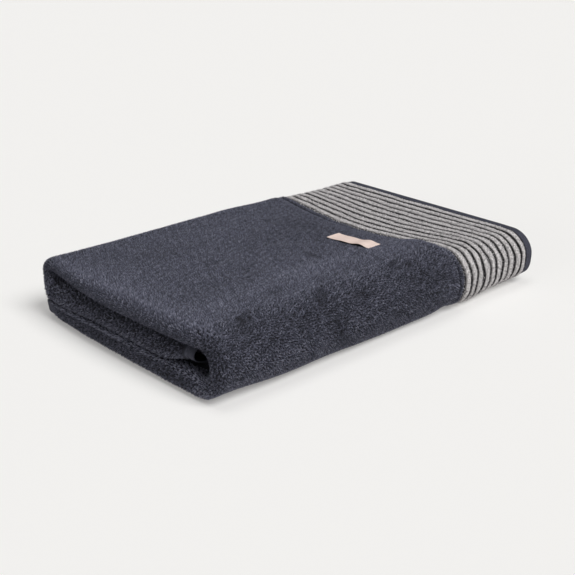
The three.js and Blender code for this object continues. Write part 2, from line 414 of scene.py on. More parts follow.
def border_relief(x, distance):
    """A puffy shoulder, a sag in the middle, a lower pile and a higher border at the back, cords
    that stand over the pile, a lifted end with a hem that droops, and a foot that stands back."""
    near_edge = smooth_step(x, 64, 96) * (1 - smooth_step(x, pile_edge + 8, half_length - 10))
    shoulder, sag = (height * ridge_at(distance, *where) for height, *where in (SHOULDER, SAG))
    to_back = smooth_step(distance, 150, 236)
    in_border = smooth_step(x, 98, pile_edge + 4)
    pile_back = PILE_BACK_HEIGHT * smooth_step(x, 10, 84) * (1 - in_border)
    border_back = BORDER_BACK_HEIGHT * in_border * (1 - smooth_step(x, 104, half_length))
    cord_lift = CORD_LIFT * smooth_step(x, pile_edge - PILE_EDGE_SLOPE, pile_edge)
    cord_lift = cord_lift * (1 - smooth_step(x, pile_edge + 8, pile_edge + 64))
    cord_lift = cord_lift * smooth_step(distance, -95, -60)
    end_lift = END_LIFT * smooth_step(x, 165, 220) * smooth_step(distance, -20, 20)
    droop = HEM_DROOP * smooth_step(x, half_length - END_HEM_WIDTH - 3, half_length)
    droop = (droop + end_lift) * smooth_step(distance, -45, 25)
    foot = -np.interp(x, *FOOT_LIFT.T) * ridge_at(distance, FOOT_PLACE, FOOT_REACH)
    at_edge, at_back = near_edge * (shoulder + sag), to_back * (pile_back + border_back)
    return at_edge + at_back + cord_lift + droop + foot


def relief(x, distance):
    """Height of the marks and of a gentle waviness in mm, none on the two hidden thirds."""
    height = WAVINESS * wave_field(x, distance, RELIEF_SEED, RELIEF_WAVES, 35, 110)
    for mark in MARKS:
        height = height + mark[5] * soft_spot(x, distance, mark)
    shown = smooth_step(distance, run_starts[FRONT] + 2, run_starts[FRONT] + 20)
    shown = shown * (1 - smooth_step(distance, run_starts[BACK] + 10, run_starts[BACK] + 60))
    in_pile = 1 - smooth_step(x, pile_edge - 30, pile_edge + 4)
    return (height * in_pile + border_relief(x, distance)) * shown


print(len(MARKS), "marks, from", MARKS[:, 5].min(), "to", MARKS[:, 5].max(), "mm")

# %% Bow of the border
# Only here, the pile edge is not straight: by the distance over the top, its shift along x in mm.
EDGE_BOW = np.array([
    [-140, -3], [-108, -4], [-90, -5], [-70, -4], [-55, -2.5], [-38, -2.5], [-24, -2], [-10, -1.5],
    [0, -2.5], [12, -3.5], [20, -3], [27, -1.5], [40, -4.5], [55, -7.5], [70, -9.5], [90, -10.5],
    [110, -11], [130, -12], [150, -12.5], [170, -10], [190, -7], [210, -4.5], [225, -2], [238, 1],
    [300, 0]])
BOW_SMOOTHING = 9.0
bow_places = np.arange(-150.0, 320.0)
bow_rough = np.interp(bow_places, *EDGE_BOW.T)
bow_kernel = np.exp(-(np.arange(-30, 31) / BOW_SMOOTHING) ** 2)
bow_table = np.convolve(np.pad(bow_rough, 30, mode="edge"), bow_kernel / bow_kernel.sum(), "valid")
# The end hem slants back at the foot of the front: by the same distance, its shift in mm.
HEM_SLANT = np.array([
    [-200, 0], [-140, -7], [-108, -10], [-90, -8], [-75, -4], [-60, -1.5], [-45, 0]])
CORD_WOBBLE = 0.8
WOBBLE_SEED = 5


def edge_shift(x, distance):
    """Shift along x: the bow at the pile edge, less and less towards the end hem and into the
    pile, the slant, more and more towards the end hem, and a small wobble of each cord."""
    bow = np.interp(distance, bow_places, bow_table)
    into_pile = smooth_step(x, 52, pile_edge)
    to_hem = 1 - np.clip((x - pile_edge) / (half_length - pile_edge), 0, 1)
    in_cords = smooth_step(x, pile_edge, pile_edge + 6)
    in_cords = in_cords * (1 - smooth_step(x, half_length - 14, half_length - 8))
    wobble = CORD_WOBBLE * wave_field(2 * x, distance, WOBBLE_SEED, 18, 24, 80) * in_cords
    slant = np.interp(distance, *HEM_SLANT.T) * smooth_step(x, pile_edge, half_length)
    return bow * into_pile * to_hem + slant + wobble


# %% Carry points round the folds


def plateau(value, rise_start, rise_end, fall_start, fall_end):
    """0 outside, 1 in the middle, with a smooth rise before it and a smooth fall after it."""
    return smooth_step(value, rise_start, rise_end) * (1 - smooth_step(value, fall_start, fall_end))


def hollow_share(x, y):
    """1 in the middle of the soft hollow beside the border, and 0 outside it."""
    return plateau(x, *HOLLOW_X) * plateau(y, *HOLLOW_Y)


def settled(x, y, z):
    """The top third is squeezed in the hollow, and the whole bundle gets lower to the back."""
    base = 2 * (stack_thickness(x) + GAP)
    squeezed = base + (z - base) * (1 - HOLLOW_SQUEEZE * hollow_share(x, y))
    return np.where(z <= base, z, squeezed) * mix(
        1, BACK_HEIGHT_RATIO, np.clip((y + half_width) / WIDTH, 0, 1))


# At the left end, in mm, and not in the CAD model: the bottom third goes further out, the middle
# third stays further back, and so do the far ends of all but the front fold.
BOTTOM_OUT = 0.5
MIDDLE_BACK = 1.5
FAR_BACK = (1.5, 0.0, 3.0, 3.5, 4.0)


def end_shift(run, x, y):
    """The left turns bulge in the middle of their length, and the middle third stays back."""
    left = smooth_step(-x, END_SHIFT_START, half_length - pile_stack)
    right = smooth_step(x, pile_edge, half_length)
    along = np.clip((y + half_width - pile_stack) / (WIDTH - 2 * pile_stack), 0, 1)
    bow = 4 * along * (1 - along)
    recess = smooth_step(1 - along, 0, RECESS_FULL_AT) * (
        MIDDLE_RECESS_LEFT * left - MIDDLE_RECESS_RIGHT * right)
    shifts = [
        -(BOTTOM_BULGE * bow + BOTTOM_OUT) * left, 0, -TOP_BULGE * bow * left, 0,
        recess + MIDDLE_BACK * left]
    far = smooth_step(y, 60, 135) * left
    return np.select(
        [run == k for k in range(5)],
        [shift + back * far for shift, back in zip(shifts, FAR_BACK)])


# Also only here, at the left end: how far the top of the bottom roll and the underside of the top
# roll go up in mm, the share by which the front fold's layers are pressed outwards, how far back
# the middle third's free edge stays, and where all that begins and is full, in mm from the end.
RIDGE_RISE = 3.0
CREVICE_RISE, BACK_CREVICE_RISE = 2.6, 7.5
FRONT_SQUEEZE = 0.22
LEFT_SETBACK = 4.0
RISE_ZONE, ROLL_ZONE, WARP_ZONE = (50, 16), (64, 18), (40, 18)


def left_share(x, zone):
    """0 where the zone at the left end begins, and 1 where it is full and on to the end."""
    begin, full = zone
    return smooth_step(-x, half_length - begin, half_length - full)


def left_rise(x, y, z):
    """At the left end the bottom roll is fatter in front and the top roll is flatter, so the middle
    roll between them sits higher. Heights between these lines change in proportion."""
    left = left_share(x, RISE_ZONE)
    ridge = RIDGE_RISE * left * (1 - smooth_step(y, 30, 112))
    rise = mix(CREVICE_RISE, BACK_CREVICE_RISE, smooth_step(y, 20, 120)) * left
    low, high, top = pile_stack + GAP / 2, 2 * pile_stack + 1.5 * GAP, 3 * pile_stack + 2 * GAP
    between = low + ridge + (z - low) * (high + rise - low - ridge) / (high - low)
    above = top - (top - z) * (top - high - rise) / (top - high)
    return np.select([z < low, z < high, z < top], [z * (low + ridge) / low, between, above], z)


# Also only here: the curl of the middle roll's free corner in mm, and how much each roll's levels
# are warped.
SELVEDGE_CURL = 8.0
LIP_POWER = 1.4
TOP_LIP, BOTTOM_LIP, MIDDLE_LIP = 0.9, 0.2, 0.3
# share of the stack's thickness from its innermost face, and the shift along x in mm of the
# bottom, the middle and the top roll
ROLL_PROFILE = np.array([
    [0.0, -8.5, 3.0, 13.0], [0.15, -3.5, 0.0, 6.0], [0.3, -1.0, -2.5, 1.5],
    [0.5, 0.0, -4.5, 1.0], [0.7, 0.0, -6.0, 1.0], [0.85, 0.0, -8.0, 1.0], [1.0, 0.0, -12.5, 1.0]])


def roll_weights(across):
    """How much a point belongs to the bottom, the middle and the top roll at the left end."""
    bottom = 1 - smooth_step(across, 0.6, 1.1)
    middle = smooth_step(across, 3.5, 4.1) * (1 - smooth_step(across, 4.85, 4.97))
    top = smooth_step(across, 1.3, 2.0) * (1 - smooth_step(across, 3.0, 3.5))
    return bottom, middle, top


def roll_shape(x, level, across):
    """At the left end each roll has its own outline. Its widest place is moved up or down by a
    warp of the levels, and the profile table moves the rest of it in or out."""
    u = level / stack_thickness(x)
    bottom, middle, top = roll_weights(across)
    low = np.clip(u, 0, 1) ** LIP_POWER
    high = np.clip(1 - u, 0, 1) ** LIP_POWER
    lowered = u * (1 - (TOP_LIP * top + BOTTOM_LIP * bottom) * (1 - low))
    raised = 1 - (1 - lowered) * (1 - MIDDLE_LIP * middle * (1 - high))
    shift = sum(weight * np.interp(u, ROLL_PROFILE[:, 0], ROLL_PROFILE[:, k + 1])
                for k, weight in enumerate((bottom, middle, top)))
    warped = mix(level, stack_thickness(x) * raised, left_share(x, WARP_ZONE))
    return x + shift * left_share(x, ROLL_ZONE), warped


def selvedge_curl(x, level, across):
    """The free corner of the middle third at the left end is rounder than the rest of its roll."""
    near = left_share(x, RISE_ZONE) * smooth_step(across, 4.82, 4.96)
    return SELVEDGE_CURL * near * (2 * np.clip(level / stack_thickness(x), 0, 1) - 1) ** 2


def place(x, level, across):
    """Points of the folded towel in mm. A fold is a turn about its centre by up to half a circle,
    with the radius growing with the level. The lower half of the front fold is squarer."""
    x, level, across = np.broadcast_arrays(x, level, across)
    curl = selvedge_curl(x, level, across)
    x, level = roll_shape(x, level, across)
    x = x + curl
    run = np.clip(np.floor(across), 0, 4)
    share = across - run
    stack = stack_thickness(x)
    distance = outer_distance(across)
    lifted = level + relief(x, distance) * np.clip(level / stack, 0, 1) ** 2
    front = -half_width + 1.5 * stack + GAP
    back = half_width - stack - GAP / 2
    angle = share * math.pi
    at_left = left_share(x, ROLL_ZONE)
    squeeze = FRONT_SQUEEZE * at_left * np.sin(angle)
    corner = mix(CORNER_POWER_PILE, CORNER_POWER_BORDER,
                 smooth_step(x, CORNER_CHANGE_START, pile_edge))
    power = np.where(share < 0.5, 2 / corner, 1)
    out = np.clip(np.sin(angle), 0, 1) ** power
    up = -np.sign(np.cos(angle)) * np.abs(np.cos(angle)) ** power
    front_radius = stack / 2 + GAP + lifted + squeeze * np.clip(stack - lifted, 0, None)
    back_radius = GAP / 2 + lifted
    across_places = [
        mix(half_width - BOTTOM_SELVEDGE_SETBACK, front, share),
        front - front_radius * out,
        mix(front, back, share),
        back + back_radius * np.sin(angle),
        mix(back, front + MIDDLE_SELVEDGE_SETBACK + LEFT_SETBACK * at_left, share),
    ]
    heights = [
        stack - level,
        1.5 * stack + GAP + front_radius * up,
        2 * (stack + GAP) + lifted,
        2 * stack + 1.5 * GAP + back_radius * np.cos(angle),
        2 * stack + GAP - level,
    ]
    choices = [run == k for k in range(5)]
    y = np.select(choices, across_places)
    z = np.select(choices, heights)
    height = np.maximum(settled(x, y, left_rise(x, y, z)), 0.0)
    return np.stack([x + end_shift(run, x, y) + edge_shift(x, distance), y, height], axis=-1)


top_point = place(np.array(0.0), np.array(pile_stack), np.array(2.5))
print("middle of the top third:", np.round(top_point, 1), "mm")

# %% The sheet along its length
# Dense tables of the outward and the inward face of the sheet in the stack, from the end hem of
# the outer layer to the hidden end hem.
STEP = 0.25
turn_level = pile_stack / 2
pitch = PILE + GAP
small_turn = PILE + GAP / 2
outer_left = -half_length + turn_level + TOP_BULGE
inner_left = outer_left + INNER_LEFT_SETBACK
inner_right = half_length - INNER_TURN_SETBACK - PILE - GAP / 2
CORD_RELIEF = 1.3


def straight_run(start, end, outward, inward):
    """Rows of x, outward level, x, inward level from start to end along the bundle."""
    x = np.linspace(start, end, max(2, int(abs(end - start) / STEP)))
    return np.stack([x, outward(x) + 0 * x, x, inward(x) + 0 * x], axis=1)


def turn_run(centre_x, centre_level, outward_radius, inward_radius, start, end, power=2.0):
    """A half turn of the sheet. A power over 2 makes it squarer than a circle."""
    steps = max(12, int(math.pi * max(outward_radius, inward_radius) / STEP))
    angle = np.radians(np.linspace(start, end, steps + 1)[1:-1])
    cos = np.sign(np.cos(angle)) * np.abs(np.cos(angle)) ** (2 / power)
    sin = np.sign(np.sin(angle)) * np.abs(np.sin(angle)) ** (2 / power)
    return np.stack([
        centre_x + outward_radius * cos, centre_level + outward_radius * sin,
        centre_x + inward_radius * cos, centre_level + inward_radius * sin], axis=1)


runs = [
    straight_run(half_length, outer_left,
                 lambda x: stack_thickness(x) - CORD_RELIEF * groove_depth(x),
                 lambda x: 2 * pitch + GAP + inner_thickness(x)),
    turn_run(outer_left, turn_level, turn_level, turn_level - PILE, 90, 270, LEFT_TURN_POWER),
    straight_run(outer_left, inner_right, lambda x: 0, lambda x: PILE),
    turn_run(inner_right, small_turn, small_turn, GAP / 2, -90, 90),
    straight_run(inner_right, inner_left, lambda x: pitch + PILE, lambda x: pitch),
    turn_run(inner_left, turn_level, GAP / 2, small_turn, 270, 90),
    straight_run(inner_left, half_length - INNER_HEM_SETBACK, lambda x: 2 * pitch,
                 lambda x: 2 * pitch + inner_thickness(x)),
]
sheet_rows = np.concatenate(runs)
run_ends = np.cumsum([len(rows) for rows in runs]) - 1
middle_line = (sheet_rows[:, :2] + sheet_rows[:, 2:]) / 2
steps_along = np.hypot(*np.diff(middle_line, axis=0).T)
along_table = np.concatenate([[0], np.cumsum(steps_along)])
RUN_ALONG = along_table[run_ends]
sheet_length = along_table[-1]
tangent = np.gradient(sheet_rows[:, :2], axis=0)
normal_table = np.stack([-tangent[:, 1], tangent[:, 0]], axis=1)
outwards = np.sum(normal_table * (sheet_rows[:, :2] - sheet_rows[:, 2:]), axis=1)
normal_table *= np.sign(outwards)[:, None] / np.hypot(*normal_table.T)[:, None]
print("the sheet is", round(sheet_length), "mm long, its runs end at", np.round(RUN_ALONG))


def section(along):
    """x and level of the outward face at a distance along the sheet, and its direction outwards."""
    tables = (*sheet_rows[:, :2].T, *normal_table.T)
    return tuple(np.interp(along, along_table, table) for table in tables)


def selvedge_share(across):
    """1 on the flat hem along each long edge of the sheet, 0 on the pile beside it."""
    from_edge = np.minimum(across * RUN_LENGTHS[BOTTOM], (5 - across) * RUN_LENGTHS[MIDDLE])
    return 1 - smooth_step(from_edge, SELVEDGE_WIDTH - 1.5, SELVEDGE_WIDTH + 2.5)


# %% [markdown]
# ## The cloth
#
# The cloth itself is a closed grid. Its stations along the sheet are close together in the border,
# so that every cord of it is round, and in the visible pile. They are far apart in the hidden
# layers. The columns across the width are close together in the two folds. The outward and the
# inward face meet in a row of points that rounds every edge.

# %% Grid of the cloth
# The ground of the pile lies PILE_SINK under the solid's face, so that the tips of its tufts come
# near that face. The hems, and the underside that rests on the table, keep their height.
PILE_SINK = 1.1
BORDER_SINK = 0.1
CORD_CELLS = 10
border_end = END_HEM_WIDTH + RIB_COUNT * RIB_PITCH


def stations_along():
    """Distances along the sheet of the grid's stations, close where the cloth is seen."""
    ends = [0, END_HEM_WIDTH, border_end, border_end + 12, *RUN_ALONG]
    counts = [5, RIB_COUNT * CORD_CELLS + 1, 7, 68, 17, 12, 9, 12, 9, 12]
    return np.unique(np.concatenate([
        np.linspace(start, end, count) for start, end, count in zip(ends, ends[1:], counts)]))


def columns_across():
    """Steps across the width, from 0 at the bottom selvedge to 5 at the middle selvedge."""
    edge = (SELVEDGE_WIDTH + 3) / RUN_LENGTHS[BOTTOM]
    ends = [0, edge, 1, 2, 3, 4, 5 - edge, 5]
    counts = [6, 18, 37, 61, 23, 18, 6]
    return np.unique(np.concatenate([
        np.linspace(start, end, count) for start, end, count in zip(ends, ends[1:], counts)]))


grid_along = stations_along()
grid_across = columns_across()
rows, columns = len(grid_along), len(grid_across)
out_x, out_level, normal_x, normal_level = (v[:, None] for v in section(grid_along))
in_x = np.interp(grid_along, along_table, sheet_rows[:, 2])[:, None]
in_level = np.interp(grid_along, along_table, sheet_rows[:, 3])[:, None]
hem = selvedge_share(grid_across)[None, :]
in_border = (grid_along < border_end)[:, None]
in_pile = smooth_step(grid_along, border_end - 0.8, border_end + 2.2)[:, None]
off_table = np.maximum(smooth_step(grid_across, 1.0, 1.25)[None, :],
                       smooth_step(grid_along, RUN_ALONG[0] - 12, RUN_ALONG[0] + 6)[:, None])
sink = mix(BORDER_SINK, PILE_SINK, in_pile) * off_table * (1 - hem)
thickness = np.hypot(out_x - in_x, out_level - in_level)
thinning = hem * np.clip(1 - SELVEDGE / thickness, 0, 1) / 2
face_x = mix(out_x, in_x, thinning) - sink * normal_x
face_level = mix(out_level, in_level, thinning) - sink * normal_level
back_x = mix(in_x, out_x, thinning)
back_level = mix(in_level, out_level, thinning)
across_grid = np.broadcast_to(grid_across[None, :], face_x.shape)
outward_face = place(face_x, face_level, across_grid)
inward_face = place(back_x, back_level, across_grid)
print("cloth grid", rows, "x", columns)

# %% Close the grid into one skin
EDGE_ROUNDING = 0.3


def rim_indices(rows, columns):
    """Indices of a grid's outermost points, once round."""
    index = np.arange(rows * columns).reshape(rows, columns)
    return np.concatenate([index[0, :-1], index[:-1, -1], index[-1, :0:-1], index[:0:-1, 0]])


def inner_indices(rows, columns):
    """For each point of the rim, the index of its neighbour one step further in."""
    index = np.arange(rows * columns).reshape(rows, columns)
    i, j = np.divmod(rim_indices(rows, columns), columns)
    return index[np.clip(i, 1, rows - 2), np.clip(j, 1, columns - 2)]


def grid_quads(rows, columns):
    """Quads of a grid, row by row."""
    index = np.arange(rows * columns).reshape(rows, columns)
    corners = [index[:-1, :-1], index[:-1, 1:], index[1:, 1:], index[1:, :-1]]
    return np.stack(corners, -1).reshape(-1, 4)


def closed_sheet(outward, inward):
    """Points and quads of a closed skin: the outward grid, the inward grid and a rim between them
    that stands out by a share of the thickness."""
    rows, columns = outward.shape[:2]
    front, back = outward.reshape(-1, 3), inward.reshape(-1, 3)
    rim, inner = rim_indices(rows, columns), inner_indices(rows, columns)
    direction = (front[rim] + back[rim]) / 2 - (front[inner] + back[inner]) / 2
    direction /= np.maximum(np.linalg.norm(direction, axis=1, keepdims=True), 1e-9)
    thick = np.linalg.norm(front[rim] - back[rim], axis=1, keepdims=True)
    middle = (front[rim] + back[rim]) / 2 + EDGE_ROUNDING * thick * direction
    count = rows * columns
    quads = grid_quads(rows, columns)
    ring = 2 * count + np.arange(len(rim))
    following = np.roll(np.arange(len(rim)), -1)
    first = np.stack([rim, ring, ring[following], rim[following]], 1)
    second = np.stack([ring, rim + count, rim[following] + count, ring[following]], 1)
    points = np.concatenate([front, back, middle])
    return points, np.concatenate([quads, quads[:, ::-1] + count, first, second])


def outward_quads(points, quads):
    """The same quads, all turned round if the skin they make has a negative volume."""
    a, b, c, d = (points[quads[:, k]] for k in range(4))
    volume = np.sum(np.cross(b - a, c - a) * a) + np.sum(np.cross(c - a, d - a) * a)
    return quads if volume > 0 else quads[:, ::-1]


def mesh_piece(name, points, faces, uv, shade, material):
    """A mesh object in metres from points in mm, with a UV map and a shade for every point. It
    rides on the root body, as every piece here does, and gets its material."""
    mesh = bpy.data.meshes.new(name)
    corners = faces.shape[1]
    mesh.vertices.add(len(points))
    mesh.vertices.foreach_set("co", (points * MM).astype(np.float32).ravel())
    mesh.loops.add(faces.size)
    mesh.loops.foreach_set("vertex_index", faces.astype(np.int32).ravel())
    mesh.polygons.add(len(faces))
    mesh.polygons.foreach_set("loop_start", np.arange(0, faces.size, corners, dtype=np.int32))
    mesh.update(calc_edges=True)
    mesh.polygons.foreach_set("use_smooth", np.full(len(faces), True))
    layer = mesh.uv_layers.new(name="flat")
    layer.data.foreach_set("uv", uv[faces.ravel()].astype(np.float32).ravel())
    attribute = mesh.attributes.new("shade", "FLOAT", "POINT")
    attribute.data.foreach_set("value", shade.astype(np.float32))
    mesh.materials.append(material)
    piece = bpy.data.objects.new(name, mesh)
    bpy.context.scene.collection.objects.link(piece)
    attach(piece, "root")
    return piece


# %% [markdown]
# ## Colours of the cloth
#
# The pile is a very dark blue grey. Where a hand has brushed it, the loops lean another way and
# look lighter or darker, so the pile has a shade field with soft patches of painted light and
# painted shade; some are lighter on bumps and some darker in dents. Between the loops it is nearly
# black by painted shade. The cords are a melange of light and mid grey yarn. The hems are flat
# woven navy.

# %% Shade of the pile
# x, distance, length, width, turn in degrees, how much lighter: patches of painted light and
# painted shade
PAINTED_SHADING_PATCHES = np.array([
    [-165, -70, 50, 24, 0, 0.14],
    [-95, -27, 46, 13, 0, -0.2],
    [57, -33, 28, 20, 0, -0.24],
    [47, 150, 26, 40, 0, -0.2],
    [-125, 170, 40, 14, 0, -0.1],
    [-228, 135, 14, 30, 0, 0.2],
    [-90, 26, 110, 20, 0, 0.16],
    [-205, 100, 26, 90, 0, 0.06],
    [60, 110, 60, 50, 0, -0.12],
    [-201, 166, 16, 26, 0, 0.10],
    [-210, 98, 12, 30, 0, 0.08],
    [-174, 30, 22, 12, 10, 0.12],
    [-70, 40, 26, 10, 5, 0.14],
    [-11, 34, 40, 10, -5, 0.12],
    [50, 14, 24, 9, -10, 0.12],
    [-128, 187, 24, 12, 20, -0.12],
    [-185, 209, 22, 14, 0, -0.12],
    [-31, 124, 22, 14, -20, -0.10],
    [-172, -18, 20, 12, 10, -0.16],
    [-150, 60, 26, 9, 15, -0.08],
])
# The front fold, by the same distance: painted shade below the shoulder, and painted light towards
# the foot, where light from the table falls on it.
FRONT_PAINTED_SHADING = np.array([
    [-125, 1.0], [-108, 1.4], [-96, 1.35], [-88, 1.17], [-80, 1.05], [-70, 0.96], [-60, 0.92],
    [-45, 0.91], [-33, 0.88], [-24, 0.88], [-12, 0.97], [0, 1.0]])
SHADE_SEED = 21
GROUND_PAINTED_SHADE = 0.2
BROAD_SHADE = 0.03
GRAIN_SHADE = 0.23
STROKE_PAINTED_SHADE = -0.36
SHADE_LIMITS = (0.15, 2)
# the small dents, by their length, are darker by painted shade, this much for each mm of depth
SMALL_MARK = 11
DENT_PAINTED_SHADE = 0.4


def pile_shade(x, distance):
    """How light the pile is, about 1: broad waves, a grain of 3 to 12 mm, thin strokes of painted
    shade where the loops part, the patches of painted light and painted shade, painted shade in the
    small dents, and the front fold's painted shade and painted light."""
    shade = 1 + BROAD_SHADE * wave_field(x, distance, SHADE_SEED, 16, 14, 60)
    shade = shade + GRAIN_SHADE * wave_field(x, distance, SHADE_SEED + 1, 24, 3, 12)
    strokes = wave_field(x + distance, 0.4 * (x - distance), SHADE_SEED + 2, 30, 4, 10)
    shade = shade + STROKE_PAINTED_SHADE * smooth_step(strokes, 0.9, 1.7)
    for patch in PAINTED_SHADING_PATCHES:
        shade = shade + patch[5] * soft_spot(x, distance, patch)
    for mark in MARKS[MARKS[:, 2] < SMALL_MARK]:
        shade = shade + DENT_PAINTED_SHADE * mark[5] * soft_spot(x, distance, mark)
    return np.clip(shade, *SHADE_LIMITS) * np.interp(distance, *FRONT_PAINTED_SHADING.T)


# %% Materials of the cloth
# patterns to the metre: the speckle, the loops' own relief, and the knots of the cords' yarn
SPECKLE_SCALE, LOOP_SCALE, KNOT_SCALE = 900, 1400, 520
LOOP_RELIEF = 0.0006
WEAVE_RELIEF = 0.0003
# threads of the woven hems over the whole flat map, one way and the other
THREADS = (900, 1300)


def pile_material(name, dark, mid, light, roughness, sheen, grain, knots=0.0):
    """Dark between the loops and lighter at their tips, by the shade of the point, which holds the
    painted shade and painted light of the pieces, and by a fine speckle of about a millimetre."""
    material, nodes, links, shader = new_material(name, roughness)
    on_piece = object_place(nodes)
    speckle = noise_node(nodes, links, on_piece, SPECKLE_SCALE, 3)
    speckle = math_node(nodes, links, "MULTIPLY_ADD", speckle, grain, 1 - grain / 2)
    value = math_node(nodes, links, "MULTIPLY", shade_value(nodes), speckle)
    value = math_node(nodes, links, "MULTIPLY", value, 0.6)
    relief_height = noise_node(nodes, links, on_piece, LOOP_SCALE, 3)
    if knots:
        cells = nodes.new("ShaderNodeTexVoronoi")
        cells.inputs["Scale"].default_value = KNOT_SCALE
        links.new(on_piece, cells.inputs["Vector"])
        knot = math_node(
            nodes, links, "MULTIPLY_ADD", cells.outputs["Distance"], -knots, 1 + 0.35 * knots)
        value = math_node(nodes, links, "MULTIPLY", value, knot)
        relief_height = math_node(nodes, links, "ADD", relief_height, knot)
    colour = ramp_node(nodes, links, value, [(0.0, dark), (0.6, mid), (1.0, light)])
    links.new(colour, shader.inputs["Base Color"])
    bump = bump_node(nodes, links, relief_height, 0.6, LOOP_RELIEF)
    links.new(bump, shader.inputs["Normal"])
    shader.inputs["Sheen Weight"].default_value = sheen
    shader.inputs["Sheen Roughness"].default_value = 0.5
    shader.inputs["Sheen Tint"].default_value = (0.75, 0.78, 0.9, 1)
    return material


navy_pile = pile_material(
    "navy_pile", (0.006, 0.006, 0.007), (0.1275, 0.1315, 0.181), (0.30, 0.305, 0.38),
    roughness=0.95, sheen=0.15, grain=1.0)
grey_cord = pile_material(
    "grey_cord", (0.045, 0.041, 0.042), (0.72, 0.69, 0.69), (0.97, 0.945, 0.94),
    roughness=0.95, sheen=0.1, grain=1.2, knots=1.1)


def weave_material(name, first, second, roughness):
    """Plain woven cloth: two sets of threads at right angles on the piece's own flat map."""
    material, nodes, links, shader = new_material(name, roughness)
    flat = nodes.new("ShaderNodeUVMap")
    flat.uv_map = "flat"
    waves = []
    for axis, count in zip(("X", "Y"), THREADS):
        wave = nodes.new("ShaderNodeTexWave")
        wave.bands_direction = axis
        wave.inputs["Scale"].default_value = count
        wave.inputs["Distortion"].default_value = 0.6
        links.new(flat.outputs["UV"], wave.inputs["Vector"])
        waves.append(wave.outputs["Fac"])
    weave = math_node(nodes, links, "MULTIPLY", *waves)
    blotch = noise_node(nodes, links, object_place(nodes), 160, 4)
    value = weighted_sum(nodes, links, (weave, 0.5), (blotch, 0.5))
    colour = ramp_node(nodes, links, value, [(0.15, first), (0.7, second)])
    links.new(colour, shader.inputs["Base Color"])
    links.new(bump_node(nodes, links, weave, 0.35, WEAVE_RELIEF), shader.inputs["Normal"])
    return material


navy_hem = weave_material("navy_hem", (0.035, 0.036, 0.05), (0.085, 0.087, 0.115), 0.85)
groove_cloth = weave_material("groove_cloth", (0.010, 0.009, 0.010), (0.036, 0.033, 0.035), 0.95)
print("materials", [m.name for m in (navy_pile, grey_cord, navy_hem, groove_cloth)])

# %% Make the cloth
cloth_points, cloth_quads = closed_sheet(outward_face, inward_face)
cloth_quads = outward_quads(cloth_points, cloth_quads)


def flat_map(along, distance):
    """The place on the flat sheet, from 0 to 1 both ways."""
    return np.stack([along / sheet_length, (distance - run_starts[0]) / np.ptp(run_starts)], -1)


def both_faces(first, axis):
    """A closed skin's map: the outward face on one half of it along an axis, the inward face on
    the other, and the rim on the first."""
    rows, columns = first.shape[:2]
    shrink = np.where(np.arange(2) == axis, 0.49, 1.0)
    shift = np.where(np.arange(2) == axis, 0.51, 0.0)
    outward = first.reshape(-1, 2) * shrink
    return np.concatenate([outward, outward + shift, outward[rim_indices(rows, columns)]])


HEM_SHADE, INWARD_PAINTED_SHADE = 0.8, 0.25
CORD_SHADE, GROOVE_SHADE = 0.82, 0.05
rim = rim_indices(rows, columns)
distance_grid = outer_distance(across_grid)
cloth_uv = both_faces(flat_map(grid_along[:, None] + 0 * distance_grid, distance_grid), 1)
# Under the tufts the ground of the pile is nearly black by painted shade.
outward_shade = GROUND_PAINTED_SHADE * pile_shade(face_x, distance_grid)
outward_shade = mix(outward_shade, HEM_SHADE, hem)
# The cords' flanks are darker towards the grooves by painted shade.
lit_crown_share = 1 - smooth_step(groove_depth(face_x), 0.1 * RIB_HEIGHT, 0.5 * RIB_HEIGHT)
outward_shade = np.where(in_border, CORD_SHADE * lit_crown_share + GROOVE_SHADE, outward_shade)
# Inside the folds the inward faces are darker by painted shade, apart from the hems.
inward_shade = mix(INWARD_PAINTED_SHADE, HEM_SHADE, hem) + 0 * out_x
cloth_shade = np.concatenate([
    outward_shade.ravel(), inward_shade.ravel(), outward_shade.ravel()[rim]])
towel_cloth = mesh_piece(
    "towel_cloth", cloth_points, cloth_quads, cloth_uv, cloth_shade, navy_pile)
for material in (grey_cord, navy_hem, groove_cloth):
    towel_cloth.data.materials.append(material)
print("towel_cloth", len(cloth_points), "points,", 2 * len(cloth_quads), "triangles")

# %% Give each face of the cloth its material
PILE_SLOT, CORD_SLOT, HEM_SLOT, GROOVE_SLOT = range(4)
cell_along = (grid_along[:-1] + grid_along[1:]) / 2
cell_x = section(cell_along)[0]
on_selvedge = selvedge_share((grid_across[:-1] + grid_across[1:]) / 2) > 0.5
cell_slot = np.full((rows - 1, columns - 1), PILE_SLOT)
inward_slot = cell_slot.copy()
border_cells = cell_along < border_end
cell_slot[border_cells] = CORD_SLOT
# Towards the pile the first cord is grey almost down to its foot. All other sides of the cords are
# grey down to half their height.
groove_from = np.where(cell_x < pile_edge + RIB_PITCH / 2, 0.9, 0.5) * RIB_HEIGHT
cell_slot[border_cells & (groove_depth(cell_x) > groove_from)] = GROOVE_SLOT
cell_slot[cell_along < END_HEM_WIDTH] = HEM_SLOT
cell_slot[:, on_selvedge] = HEM_SLOT
inward_slot[border_cells | (cell_along > sheet_length - border_end)] = HEM_SLOT
inward_slot[:, on_selvedge] = HEM_SLOT
face_slots = np.concatenate([
    cell_slot.ravel(), inward_slot.ravel(), np.full(2 * len(rim), HEM_SLOT)])
towel_cloth.data.polygons.foreach_set("material_index", face_slots.astype(np.int32))
towel_cloth.data.update()

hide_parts("towel")

# %% [markdown]
# ## The pile
#
# Terry pile is thousands of small loops of yarn that stand on the cloth. At this distance one loop
# is a dark spot with a lighter tip. Hair particles would be heavy and would not export. So each
# loop is a small three-sided tuft: three points in the cloth and a tip that leans a little. All
# tufts are worked out at once, in the numbers of the flat sheet, and then carried round the folds
# with the cloth, so they follow every fold and hollow.

# %% Tufts
TUFT_ROOT = 1.3
